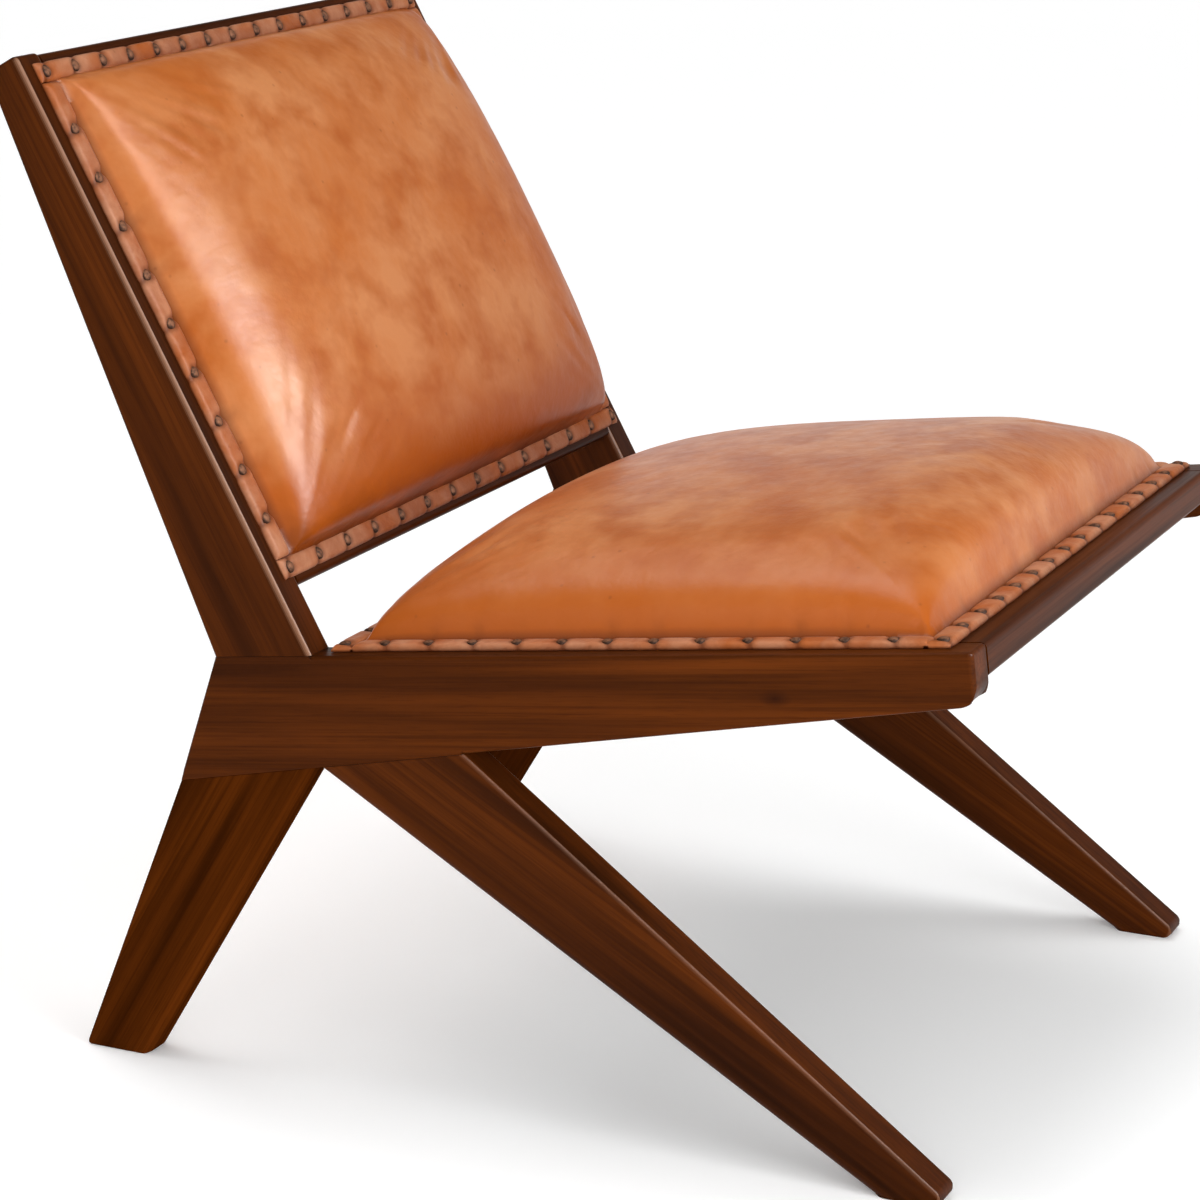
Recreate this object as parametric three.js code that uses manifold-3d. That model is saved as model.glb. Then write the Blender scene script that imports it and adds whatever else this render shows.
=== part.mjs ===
// Low armless lounge chair: two flat hardwood side frames carry an upholstered seat and an
// upholstered back, each a pair of cross rails with a board, foam, a leather cover and nailed bands.
// Millimetres, +Z up. The front faces -Y and the sitter's right hand is at -X.
import * as THREE from 'three';
import { mergeVertices } from 'three/addons/utils/BufferGeometryUtils.js';
import Module from 'manifold-3d';

const wasm = await Module();
wasm.setup();

// Whole chair
const WIDTH = 610; // over the outer faces of the two side frames
const SIDE_THICK = 30; // every side frame board
const EDGE_ROUND = 4; // round-over along the side frame boards
const GAP = 0.3; // clearance between pieces that touch
const MERGE_DISTANCE = 1e-4;

// Side rail, measured from the rear foot's rear corner
const RAIL_SETBACK = 129; // forward to the rail's rear top corner
const RAIL_TAIL_HEIGHT = 333.5; // height of that corner
const RAIL_LENGTH = 598.4; // along the top edge
const SEAT_PITCH = 7.42; // degrees that the rail rises to the front
const RAIL_TAIL_DEPTH = 107; // along the sloping rear end
const RAIL_TAIL_SLANT = 18.3; // degrees of that end from the vertical
const RAIL_NOSE_DEPTH = 38; // square to the top edge at the front
const RAIL_NOSE_ROUND = 15; // lower front corner, beyond the round-over

// Back post, standing on the rear of the side rail
const POST_HEAD = 83; // footprint along the rail's top edge
const POST_LENGTH = 490; // front edge
const BACK_RAKE = 28.9; // degrees of the front edge from the vertical
const POST_TIP_DEPTH = 30; // front to rear at the top
const POST_TIP_ROUND = 2; // beyond the round-over

// Legs, standing under the side rail
const REAR_LEG_HEAD = 121; // footprint along the rail's underside
const REAR_FOOT = 57.5; // length on the floor
const FRONT_LEG_HEAD = 126;
const FRONT_FOOT_AT = 660; // forward to the front foot's rear corner
const FRONT_FOOT = 65;
const FOOT_ROUND = 2; // beyond the round-over
const TOE_ROUND = 3; // beyond the round-over

// Dowels between the rail and the boards that butt on it
const DOWEL_DIAMETER = 10;
const DOWEL_REACH = 25; // into each of the two boards
const DOWEL_PITCH = 36; // between the two dowels of a joint
const DOWEL_CHAMFER = 1.5;

// Cross rails and their tenons
const CROSS_WIDTH = 60;
const SEAT_CROSS_THICK = 24;
const BACK_CROSS_THICK = 22;
const CROSS_FRONT_ROUND = 7; // outer edge on the face that shows
const CROSS_EDGE_ROUND = 3;
const TENON_LENGTH = 20;
const TENON_THICK = 10;
const TENON_SHOULDER = 10; // left of the rail's width on each side of the tenon

// Where the seat and the back lie on the side frames
const SEAT_REAR_INSET = 86; // rail's rear top corner to the rear cross rail
const BACK_FOOT_INSET = 51.5; // rail's top edge to the lower cross rail, up the post
const BACK_TIP_INSET = 1.7; // upper cross rail below the top of the post

// Boards, cleats and screws under the upholstery
const SEAT_BOARD_THICK = 12;
const BACK_BOARD_THICK = 9;
const CLEAT_WIDTH = 16;
const SCREW_DIAMETER = 4;
const SCREW_HEAD = 8;
const SCREW_HEAD_HEIGHT = 2.6;
const SCREW_TIP = 4;
const SCREW_BITE = 8; // depth in the cleat
const SCREW_END_INSET = 60; // from the end of the cleat

// Leather, bands and nail heads
const LEATHER = 1.6;
const COVER_TUCK = 1; // cover's edge inside the band's outer edge
const BAND_WIDTH = 16;
const BAND_THICK = 2.2;
const BAND_ROUND = 1.2;
const NAIL_RADIUS = 4.8;
const NAIL_HEIGHT = 2.4;
const DUST_CLOTH = 1;

// Crown of each pad above its frame: how square its dome is across and towards its low and high
// end, and how full it stays at its sides and ends, where less is fuller
const SEAT_CROWN = { rise: 81.6, across: 2, low: 5, high: 2.34, sideFullness: 0.38, endFullness: 0.4 };
const BACK_CROWN = { rise: 65.6, across: 2.2, low: 3.35, high: 2, sideFullness: 0.37, endFullness: 0.345 };

// Bare wood outside each band, the spacing of the nails in it, and the space from the upper
// corner nail to the first nail of a side row
const SEAT_TRIM = {
  low: { margin: 19, pitch: 37.5 },
  high: { margin: 8, pitch: 37.5 },
  side: { margin: 12, pitch: 36.6, cornerStep: 34 },
};
const BACK_TRIM = {
  low: { margin: 7, pitch: 43.5 },
  high: { margin: 8, pitch: 37.7 },
  side: { margin: 13.5, pitch: 39.8, cornerStep: 47 },
};

// Facets
const CURVE_STEPS = 4;
const ROUND_STEPS = 2;
const DOWEL_SIDES = 8;
const NAIL_SIDES = 6;
const NAIL_RINGS = 2;
const PAD_HALF_STEPS = 7;
const FOAM_INSET_LINES = 2;

const SIDES = { right: -1, left: 1 };
const HALF_WIDTH = WIDTH / 2;
const INNER_HALF = HALF_WIDTH - SIDE_THICK;
const SIDEWAYS = new THREE.Matrix4().makeBasis(
  new THREE.Vector3(0, 1, 0), new THREE.Vector3(0, 0, 1), new THREE.Vector3(1, 0, 0));

const finish = (color, roughness, metalness = 0) =>
  new THREE.MeshStandardMaterial({ color, roughness, metalness });
const MATERIALS = {
  hardwood: finish(0x5b2f18, 0.4),
  beech: finish(0xcfae82, 0.7),
  plywood: finish(0xc4a06c, 0.8),
  foam: finish(0xe9dfb8, 0.95),
  leather: finish(0xc4702f, 0.35),
  band: finish(0xb8714a, 0.45),
  cloth: finish(0x26241f, 0.95),
  steel: finish(0x9b9b98, 0.4, 1),
};

const chair = new THREE.Group();

// Vectors in a side frame's plane, as (Y, Z)
const point = (y, z) => new THREE.Vector2(y, z);
const radians = THREE.MathUtils.degToRad;
const go = (from, direction, distance) => from.clone().addScaledVector(direction, distance);
const towards = (from, to) => to.clone().sub(from).normalize();

// A closed geometry as a solid that can be joined and cut
function solid(geometry) {
  const bare = geometry.clone();
  bare.deleteAttribute('normal');
  bare.deleteAttribute('uv');
  const merged = mergeVertices(bare, MERGE_DISTANCE);
  const corners = [];
  for (let i = 0; i < merged.index.count; i += 3) {
    const [a, b, c] = [0, 1, 2].map((k) => merged.index.getX(i + k));
    if (a !== b && b !== c && c !== a) corners.push(a, b, c);
  }
  return new wasm.Manifold(new wasm.Mesh({
    numProp: 3,
    vertProperties: new Float32Array(merged.attributes.position.array),
    triVerts: new Uint32Array(corners),
  }));
}

function geometryOf(body) {
  const { vertProperties, triVerts } = body.getMesh();
  const geometry = new THREE.BufferGeometry();
  geometry.setAttribute('position', new THREE.BufferAttribute(vertProperties, 3));
  geometry.setIndex(new THREE.BufferAttribute(triVerts, 1));
  geometry.computeVertexNormals();
  return geometry;
}

function addPiece(parent, name, material, body) {
  const mesh = new THREE.Mesh(geometryOf(body), MATERIALS[material]);
  mesh.name = name;
  parent.add(mesh);
  return mesh;
}

// An outline, drawn anticlockwise, whose corners are rounded by the given radii
function outline(corners, radii) {
  const shape = new THREE.Shape();
  const ring = THREE.ShapeUtils.isClockWise(corners)
    ? { corners: corners.toReversed(), radii: radii.toReversed() } : { corners, radii };
  ring.corners.forEach((corner, i) => {
    const before = towards(corner, ring.corners.at(i - 1));
    const after = towards(corner, ring.corners[(i + 1) % ring.corners.length]);
    const radius = ring.radii[i];
    if (radius > 0) {
      const half = before.angleTo(after) / 2;
      const centre = go(corner, before.clone().add(after).normalize(), radius / Math.sin(half));
      const start = Math.atan2(before.x, -before.y);
      shape.absarc(centre.x, centre.y, radius, start, start + Math.PI - 2 * half, false);
    } else if (i === 0) {
      shape.moveTo(corner.x, corner.y);
    } else {
      shape.lineTo(corner.x, corner.y);
    }
  });
  return shape;
}

// An outline in the (Y, Z) plane drawn out along X
function alongX(shape, x0, x1) {
  const geometry = new THREE.ExtrudeGeometry(shape, {
    depth: x1 - x0, bevelEnabled: false, curveSegments: CURVE_STEPS });
  geometry.translate(0, 0, x0);
  return geometry.applyMatrix4(SIDEWAYS);
}

const sharp = (corners) => outline(corners, corners.map(() => 0));

function box(x0, x1, y0, y1, z0, z1) {
  const geometry = new THREE.BoxGeometry(x1 - x0, y1 - y0, z1 - z0);
  return geometry.translate((x0 + x1) / 2, (y0 + y1) / 2, (z0 + z1) / 2);
}

// A turned piece on the Z axis from a profile of (radius, height) points
function turned(profile, sides) {
  const points = profile.map(([radius, height]) => point(radius, height));
  return new THREE.LatheGeometry(points, sides).rotateX(Math.PI / 2);
}

// Side frame outline
const railDirection = point(-Math.cos(radians(SEAT_PITCH)), Math.sin(radians(SEAT_PITCH)));
const railNormal = point(Math.sin(radians(SEAT_PITCH)), Math.cos(radians(SEAT_PITCH)));
const postDirection = point(Math.sin(radians(BACK_RAKE)), Math.cos(radians(BACK_RAKE)));
const postNormal = point(-Math.cos(radians(BACK_RAKE)), Math.sin(radians(BACK_RAKE)));
const tailDirection = point(Math.sin(radians(RAIL_TAIL_SLANT)), -Math.cos(radians(RAIL_TAIL_SLANT)));

const tailTop = point(-RAIL_SETBACK, RAIL_TAIL_HEIGHT);
const noseTop = go(tailTop, railDirection, RAIL_LENGTH);
const noseLow = go(noseTop, railNormal, -RAIL_NOSE_DEPTH);
const tailLow = go(tailTop, tailDirection, RAIL_TAIL_DEPTH);
const underDirection = towards(tailLow, noseLow);
const underNormal = point(underDirection.y, -underDirection.x);

const postFoot = go(tailTop, railDirection, POST_HEAD);
const postTip = go(postFoot, postDirection, POST_LENGTH);
const postTipRear = go(postTip, postNormal, -POST_TIP_DEPTH);

const legSplit = go(tailLow, underDirection, REAR_LEG_HEAD);
const rearLegEnd = go(legSplit, underDirection, -GAP / 2);
const frontLegStart = go(legSplit, underDirection, GAP / 2);
const frontLegEnd = go(frontLegStart, underDirection, FRONT_LEG_HEAD);
const rearHeel = point(0, 0);
const rearToe = point(-REAR_FOOT, 0);
const frontHeel = point(-FRONT_FOOT_AT, 0);
const frontToe = point(-FRONT_FOOT_AT - FRONT_FOOT, 0);

// A side frame board with rounded edges, and corners rounded further where a radius is given
function sideBoard(corners, extraRadii, side) {
  const radii = extraRadii.map((extra) => (extra > 0 ? extra + EDGE_ROUND : 0));
  const geometry = new THREE.ExtrudeGeometry(outline(corners, radii), {
    depth: SIDE_THICK - 2 * EDGE_ROUND,
    curveSegments: CURVE_STEPS,
    bevelThickness: EDGE_ROUND,
    bevelSize: EDGE_ROUND,
    bevelOffset: -EDGE_ROUND,
    bevelSegments: ROUND_STEPS,
  });
  geometry.translate(0, 0, side * (HALF_WIDTH - SIDE_THICK / 2) - SIDE_THICK / 2 + EDGE_ROUND);
  return solid(geometry.applyMatrix4(SIDEWAYS));
}

// A board that butts on the rail: drawn past the joint, then cut flat along it
function buttedBoard(head, far, farRadii, outward, side) {
  const overrun = 3 * EDGE_ROUND;
  const longHead = [
    go(head[0], towards(far[1], head[0]), overrun),
    go(head[1], towards(far[0], head[1]), overrun),
  ];
  const blank = sideBoard([...longHead, ...far], [0, 0, ...farRadii], side);
  const seam = head.map((corner) => go(corner, outward, GAP));
  const direction = towards(seam[0], seam[1]);
  const start = go(seam[0], direction, -SIDE_THICK);
  const end = go(seam[1], direction, SIDE_THICK);
  const waste = [start, end, go(end, outward, -2 * SIDE_THICK), go(start, outward, -2 * SIDE_THICK)];
  return blank.subtract(solid(alongX(sharp(waste), -WIDTH, WIDTH)));
}

// Square patch of the rail where another board meets it flush
function flushPatch(from, to, inward, side) {
  const direction = towards(from, to);
  const a = go(from, direction, EDGE_ROUND);
  const b = go(to, direction, -EDGE_ROUND);
  const corners = [a, b, go(b, inward, 2 * EDGE_ROUND), go(a, inward, 2 * EDGE_ROUND)];
  const middle = side * (HALF_WIDTH - SIDE_THICK / 2);
  return solid(alongX(sharp(corners), middle - SIDE_THICK / 2, middle + SIDE_THICK / 2));
}

// The pair of dowels of a butt joint, centred between the board's edges at half their reach
function dowelPlaces(head, far, outward) {
  const rearEdge = towards(head[0], far[1]);
  const frontEdge = towards(head[1], far[0]);
  const depth = DOWEL_REACH / 2;
  const rear = go(head[0], rearEdge, depth / rearEdge.dot(outward));
  const front = go(head[1], frontEdge, depth / frontEdge.dot(outward));
  const centre = go(rear.clone().add(front).multiplyScalar(0.5), outward, -depth);
  const direction = towards(head[0], head[1]);
  return [-0.5, 0.5].map((share) => go(centre, direction, share * DOWEL_PITCH));
}

// A dowel or its hole, standing across the joint at a point of the (Y, Z) plane
function dowel(place, outward, side, radius, reach, chamfer) {
  const profile = [
    [0, -reach], [radius - chamfer, -reach], [radius, chamfer - reach],
    [radius, reach - chamfer], [radius - chamfer, reach], [0, reach],
  ];
  const geometry = turned(profile, DOWEL_SIDES);
  geometry.rotateX(Math.atan2(-outward.x, outward.y));
  return solid(geometry.translate(side * (HALF_WIDTH - SIDE_THICK / 2), place.x, place.y));
}

// Frame of the seat or the back: X across, Y up or to the rear, Z out of its face
function panelGroup(origin, tilt) {
  const group = new THREE.Group();
  group.position.set(0, origin.x, origin.y);
  group.rotation.x = tilt;
  group.updateMatrix();
  chair.add(group);
  return group;
}

const PANELS = {
  seat: {
    group: panelGroup(tailTop, -radians(SEAT_PITCH)),
    low: -RAIL_LENGTH,
    high: -SEAT_REAR_INSET,
    lowName: 'seat_front',
    highName: 'seat_rear',
    crossThick: SEAT_CROSS_THICK,
    boardThick: SEAT_BOARD_THICK,
    crown: SEAT_CROWN,
    trim: SEAT_TRIM,
  },
  back: {
    group: panelGroup(postFoot, Math.PI / 2 - radians(BACK_RAKE)),
    low: BACK_FOOT_INSET,
    high: POST_LENGTH - BACK_TIP_INSET,
    lowName: 'back_bottom',
    highName: 'back_top',
    crossThick: BACK_CROSS_THICK,
    boardThick: BACK_BOARD_THICK,
    crown: BACK_CROWN,
    trim: BACK_TRIM,
  },
};

// A tenon, or its mortise when it is grown by the clearance
function tenonBox(panel, inner, direction, side, grow) {
  const edges = [inner - direction * TENON_SHOULDER, inner - direction * (CROSS_WIDTH - TENON_SHOULDER)];
  const near = INNER_HALF - TENON_SHOULDER;
  const far = INNER_HALF + TENON_LENGTH + grow;
  const xs = [side * near, side * far].sort((a, b) => a - b);
  const middle = -panel.crossThick / 2;
  return box(...xs, Math.min(...edges) - grow, Math.max(...edges) + grow,
    middle - TENON_THICK / 2 - grow, middle + TENON_THICK / 2 + grow);
}

// The two cross rails of a panel, each between the inner faces of the side frames
const crossRails = (panel) => [
  { name: panel.lowName, inner: panel.low + CROSS_WIDTH, direction: 1 },
  { name: panel.highName, inner: panel.high - CROSS_WIDTH, direction: -1 },
];

function addCrossRail(panel, { name, inner, direction }) {
  const outer = inner - direction * CROSS_WIDTH;
  const corners = [
    point(outer, 0), point(inner, 0), point(inner, -panel.crossThick), point(outer, -panel.crossThick),
  ];
  const radii = [CROSS_FRONT_ROUND, 0, CROSS_EDGE_ROUND, CROSS_FRONT_ROUND];
  const end = INNER_HALF - GAP;
  let rail = solid(alongX(outline(corners, radii), -end, end));
  for (const side of Object.values(SIDES)) {
    rail = rail.add(solid(tenonBox(panel, inner, direction, side, 0)));
  }
  addPiece(panel.group, `${name}_rail`, 'hardwood', rail);
}

// Mortises that one side frame board takes from a panel's cross rails
function cutMortises(body, panel, side) {
  let cut = body;
  for (const { inner, direction } of crossRails(panel)) {
    const mortise = tenonBox(panel, inner, direction, side, GAP);
    cut = cut.subtract(solid(mortise.applyMatrix4(panel.group.matrix)));
  }
  return cut;
}

// One side frame: rail, post and two legs, dowelled together
function addSideFrame(sideName, side) {
  const boards = {
    back_post: {
      head: [tailTop, postFoot],
      far: [postTip, postTipRear],
      radii: [POST_TIP_ROUND, POST_TIP_ROUND],
      outward: railNormal,
    },
    rear_leg: {
      head: [tailLow, rearLegEnd],
      far: [rearToe, rearHeel],
      radii: [FOOT_ROUND, FOOT_ROUND],
      outward: underNormal.clone().negate(),
    },
    front_leg: {
      head: [frontLegStart, frontLegEnd],
      far: [frontToe, frontHeel],
      radii: [TOE_ROUND, FOOT_ROUND],
      outward: underNormal.clone().negate(),
    },
  };
  let rail = sideBoard([tailTop, noseTop, noseLow, tailLow],
    [0, 0, RAIL_NOSE_ROUND, 0], side);
  rail = rail.add(flushPatch(tailTop, postFoot, railNormal.clone().negate(), side));
  rail = rail.add(flushPatch(tailLow, frontLegEnd, underNormal, side));
  rail = cutMortises(rail, PANELS.seat, side);

  for (const [name, { head, far, radii, outward }] of Object.entries(boards)) {
    let body = buttedBoard(head, far, radii, outward, side);
    if (name === 'back_post') body = cutMortises(body, PANELS.back, side);
    dowelPlaces(head, far, outward).forEach((place, i) => {
      const radius = DOWEL_DIAMETER / 2;
      const hole = dowel(place, outward, side, radius + GAP, DOWEL_REACH + GAP, DOWEL_CHAMFER);
      body = body.subtract(hole);
      rail = rail.subtract(hole);
      const pin = dowel(place, outward, side, radius, DOWEL_REACH, DOWEL_CHAMFER);
      addPiece(chair, `${name}_dowel_${sideName}_${i + 1}`, 'beech', pin);
    });
    addPiece(chair, `${name}_${sideName}`, 'hardwood', body);
  }
  addPiece(chair, `side_rail_${sideName}`, 'hardwood', rail);
}

// A countersunk screw with its head's top at height 0, or its hole when grown
function screw(boardThick, grow) {
  const shank = SCREW_DIAMETER / 2 + grow;
  const headRadius = SCREW_HEAD / 2 + grow;
  const tip = -boardThick - GAP - SCREW_BITE - grow;
  return turned([
    [0, tip], [shank, tip + SCREW_TIP], [shank, -SCREW_HEAD_HEIGHT - grow],
    [headRadius, -grow], [headRadius, 0], [0, 0],
  ], DOWEL_SIDES);
}

// Board between the cross rails, on two cleats fixed to the side frames
function addBoard(panelName, panel) {
  const { group, boardThick, crossThick } = panel;
  const [low, high] = crossRails(panel).map(({ inner, direction }) => inner + direction * GAP);
  const boardEnd = INNER_HALF - GAP;
  let board = solid(box(-boardEnd, boardEnd, low, high, -boardThick, 0));
  for (const [sideName, side] of Object.entries(SIDES)) {
    const xs = [side * boardEnd, side * (boardEnd - CLEAT_WIDTH)].sort((a, b) => a - b);
    let cleat = solid(box(...xs, low, high, -crossThick, -boardThick - GAP));
    [low + SCREW_END_INSET, high - SCREW_END_INSET].forEach((y, i) => {
      const x = side * (boardEnd - CLEAT_WIDTH / 2);
      const hole = solid(screw(boardThick, GAP).translate(x, y, 0));
      board = board.subtract(hole);
      cleat = cleat.subtract(hole);
      const piece = addPiece(group, `${panelName}_board_screw_${sideName}_${i + 1}`, 'steel',
        solid(screw(boardThick, 0)));
      piece.position.set(x, y, -GAP);
    });
    addPiece(group, `${panelName}_cleat_${sideName}`, 'beech', cleat);
  }
  addPiece(group, `${panelName}_board`, 'plywood', board);
}

// Grid lines over a span, closer together towards its ends
function padLines(low, high) {
  const lines = [];
  for (let i = -PAD_HALF_STEPS; i <= PAD_HALF_STEPS; i += 1) {
    const share = Math.sin((i / PAD_HALF_STEPS) * Math.PI / 2);
    lines.push((low + high) / 2 + share * (high - low) / 2);
  }
  return lines;
}

// A closed body between two height fields on the same grid lines
function gridBody(xs, ys, topAt, bottomAt) {
  const positions = [];
  const index = [];
  const rows = ys.length;
  const layer = xs.length * rows;
  for (const heightAt of [bottomAt, topAt]) {
    for (const x of xs) {
      for (const y of ys) positions.push(x, y, heightAt(x, y));
    }
  }
  const quad = (a, b, c, d) => index.push(a, b, c, a, c, d);
  for (let i = 0; i + 1 < xs.length; i += 1) {
    for (let j = 0; j + 1 < rows; j += 1) {
      const a = i * rows + j;
      const [b, c, d] = [a + rows, a + rows + 1, a + 1];
      quad(a, d, c, b);
      quad(layer + a, layer + b, layer + c, layer + d);
    }
    const last = rows - 1;
    quad(i * rows, (i + 1) * rows, layer + (i + 1) * rows, layer + i * rows);
    quad((i + 1) * rows + last, i * rows + last, layer + i * rows + last, layer + (i + 1) * rows + last);
  }
  for (let j = 0; j + 1 < rows; j += 1) {
    const far = (xs.length - 1) * rows + j;
    quad(j + 1, j, layer + j, layer + j + 1);
    quad(far, far + 1, layer + far + 1, layer + far);
  }
  const geometry = new THREE.BufferGeometry();
  geometry.setAttribute('position', new THREE.Float32BufferAttribute(positions, 3));
  geometry.setIndex(index);
  return solid(geometry);
}

// Rectangle of a panel inside the given margins
const inset = (panel, side, low, high) => ({
  half: HALF_WIDTH - side, low: panel.low + low, high: panel.high - high });

// Foam and the leather cover over it, nailed down on a flat flange under the bands
function addPad(panelName, panel) {
  const { group, crown, trim } = panel;
  const pad = inset(panel, trim.side.margin + BAND_WIDTH, trim.low.margin + BAND_WIDTH,
    trim.high.margin + BAND_WIDTH);
  const edge = inset(panel, trim.side.margin + COVER_TUCK, trim.low.margin + COVER_TUCK,
    trim.high.margin + COVER_TUCK);
  const middle = (pad.low + pad.high) / 2;
  const riseAt = (x, y) => {
    const across = 1 - Math.min(1, Math.abs(x / pad.half)) ** crown.across;
    const end = Math.min(1, Math.abs((y - middle) / (pad.high - middle)));
    const along = 1 - end ** (y < middle ? crown.low : crown.high);
    return crown.rise * across ** crown.sideFullness * along ** crown.endFullness;
  };
  const xs = padLines(-pad.half, pad.half);
  const ys = padLines(pad.low, pad.high);
  const cover = gridBody([-edge.half, ...xs, edge.half], [edge.low, ...ys, edge.high],
    (x, y) => GAP + LEATHER + riseAt(x, y), (x, y) => GAP + riseAt(x, y));
  const inner = (lines) => lines.slice(FOAM_INSET_LINES, -FOAM_INSET_LINES);
  const foam = gridBody(inner(xs), inner(ys), riseAt, () => GAP);
  addPiece(group, `${panelName}_leather_cover`, 'leather', cover);
  addPiece(group, `${panelName}_foam`, 'foam', foam);
}

// Nail places along a row, at the pitch nearest to the wanted one that fills the row
function nailPlaces(from, to, pitch) {
  const steps = Math.round((to - from) / pitch);
  return Array.from({ length: steps + 1 }, (_, i) => from + (i / steps) * (to - from));
}

// A leather band along X with a row of domed nail heads
function bandBody(length, nails) {
  const half = BAND_WIDTH / 2;
  const corners = [
    point(-half, 0), point(half, 0), point(half, BAND_THICK), point(-half, BAND_THICK),
  ];
  let band = solid(alongX(outline(corners, [0, 0, BAND_ROUND, BAND_ROUND]), -length / 2, length / 2));
  const dome = [[0, -BAND_THICK / 2], [NAIL_RADIUS, -BAND_THICK / 2]];
  for (let ring = 0; ring <= NAIL_RINGS; ring += 1) {
    const angle = (ring / NAIL_RINGS) * Math.PI / 2;
    dome.push([ring === NAIL_RINGS ? 0 : NAIL_RADIUS * Math.cos(angle), NAIL_HEIGHT * Math.sin(angle)]);
  }
  for (const x of nails) {
    band = band.add(solid(turned(dome, NAIL_SIDES).translate(x, 0, BAND_THICK)));
  }
  return band;
}

// Four bands round a pad: low and high ones over the full width, side ones between them
function addBands(panelName, panel) {
  const { group, trim } = panel;
  const edge = inset(panel, trim.side.margin, trim.low.margin, trim.high.margin);
  const row = inset(panel, trim.side.margin + BAND_WIDTH / 2, trim.low.margin + BAND_WIDTH / 2,
    trim.high.margin + BAND_WIDTH / 2);
  const seat = GAP + LEATHER + GAP;
  for (const [name, y, { pitch }] of [
    [panel.lowName, row.low, trim.low], [panel.highName, row.high, trim.high]]) {
    const nails = nailPlaces(-row.half, row.half, pitch);
    const band = addPiece(group, `${name}_band`, 'band', bandBody(2 * edge.half, nails));
    band.position.set(0, y, seat);
  }
  const middle = (row.low + row.high) / 2;
  const length = row.high - row.low - BAND_WIDTH - 2 * GAP;
  const last = row.high - trim.side.cornerStep - middle;
  const nails = nailPlaces(row.low - middle, last, trim.side.pitch).slice(1);
  for (const [sideName, side] of Object.entries(SIDES)) {
    const band = addPiece(group, `${panelName}_${sideName}_band`, 'band', bandBody(length, nails));
    band.rotation.z = Math.PI / 2;
    band.position.set(side * row.half, middle, seat);
  }
}

// A flat sheet fixed to the hidden faces of a panel's cross rails
function addRearSheet(panel, name, material, thick) {
  const end = INNER_HALF - GAP;
  const top = -panel.crossThick - GAP;
  addPiece(panel.group, name, material, solid(box(-end, end,
    panel.low + CROSS_FRONT_ROUND, panel.high - CROSS_FRONT_ROUND, top - thick, top)));
}

for (const [sideName, side] of Object.entries(SIDES)) addSideFrame(sideName, side);
for (const [panelName, panel] of Object.entries(PANELS)) {
  for (const rail of crossRails(panel)) addCrossRail(panel, rail);
  addBoard(panelName, panel);
  addPad(panelName, panel);
  addBands(panelName, panel);
}
addRearSheet(PANELS.back, 'back_rear_cover', 'leather', LEATHER);
addRearSheet(PANELS.seat, 'seat_dust_cover', 'cloth', DUST_CLOTH);

// The origin is on the floor, in the middle of the chair's footprint
chair.updateMatrixWorld(true);
const footprint = new THREE.Box3().setFromObject(chair, true).getCenter(new THREE.Vector3());
chair.position.set(-footprint.x, -footprint.y, 0);

export default chair;
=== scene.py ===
"""Looks of an armless lounge chair: rounded hardwood boards, crowned leather pads, puffed leather
bands and domed nails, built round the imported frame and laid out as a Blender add-on."""
import math
from functools import partial

import bpy
import numpy as np
from mathutils import Matrix, Vector
from mathutils.geometry import convex_hull_2d, intersect_line_line, intersect_point_line


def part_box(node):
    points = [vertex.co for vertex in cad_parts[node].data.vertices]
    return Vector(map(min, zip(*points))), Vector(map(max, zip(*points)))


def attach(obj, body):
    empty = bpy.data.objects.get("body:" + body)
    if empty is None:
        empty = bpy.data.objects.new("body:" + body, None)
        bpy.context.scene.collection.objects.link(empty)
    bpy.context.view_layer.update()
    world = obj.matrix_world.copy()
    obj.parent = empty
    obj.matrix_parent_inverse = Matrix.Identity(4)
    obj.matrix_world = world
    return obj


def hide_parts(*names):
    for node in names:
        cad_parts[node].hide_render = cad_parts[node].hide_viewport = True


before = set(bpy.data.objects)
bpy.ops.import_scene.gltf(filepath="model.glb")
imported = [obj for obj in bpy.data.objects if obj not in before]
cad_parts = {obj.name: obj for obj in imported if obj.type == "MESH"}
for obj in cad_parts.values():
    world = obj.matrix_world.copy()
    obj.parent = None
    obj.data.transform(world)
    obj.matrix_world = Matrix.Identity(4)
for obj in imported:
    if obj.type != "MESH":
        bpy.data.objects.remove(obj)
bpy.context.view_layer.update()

bl_info = {
    "name": "Leather lounge chair",
    "version": (1, 0, 0),
    "blender": (4, 5, 0),
    "location": "View3D > Sidebar > Lounge Chair",
    "description": "Dresses the frame of an armless lounge chair in wood, leather and brass",
    "category": "Object",
}

MM = 0.001
BODY = "root"
SIDES = ("right", "left")
SAME_PLACE = 0.05 * MM

# Boards: their outlines, where they meet, and which of their sides show
SHORTEST_SIDE = 8 * MM
STRAIGHT = math.radians(2)
JOINT_REACH = 1.5 * MM
JOINT_INSET = 2 * MM
END_SHARE = 0.002
FLOOR_REACH = 4 * MM
FACES_DOWN = 0.5
FACES_FRONT = 0.8
FACES_ASIDE = 0.2
ROUNDED = 1
ROUND_STEPS = 5
BOARD_CREASE = math.radians(35)
KNOT_PLACE = (-0.305, -0.2428, 0.3601)
KNOT_SIZE = (20 * MM, 13 * MM, 7 * MM)
GRAIN_STEP = Vector((0.37, 0.83, 0.29))
POLISHED = 0.03

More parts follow.
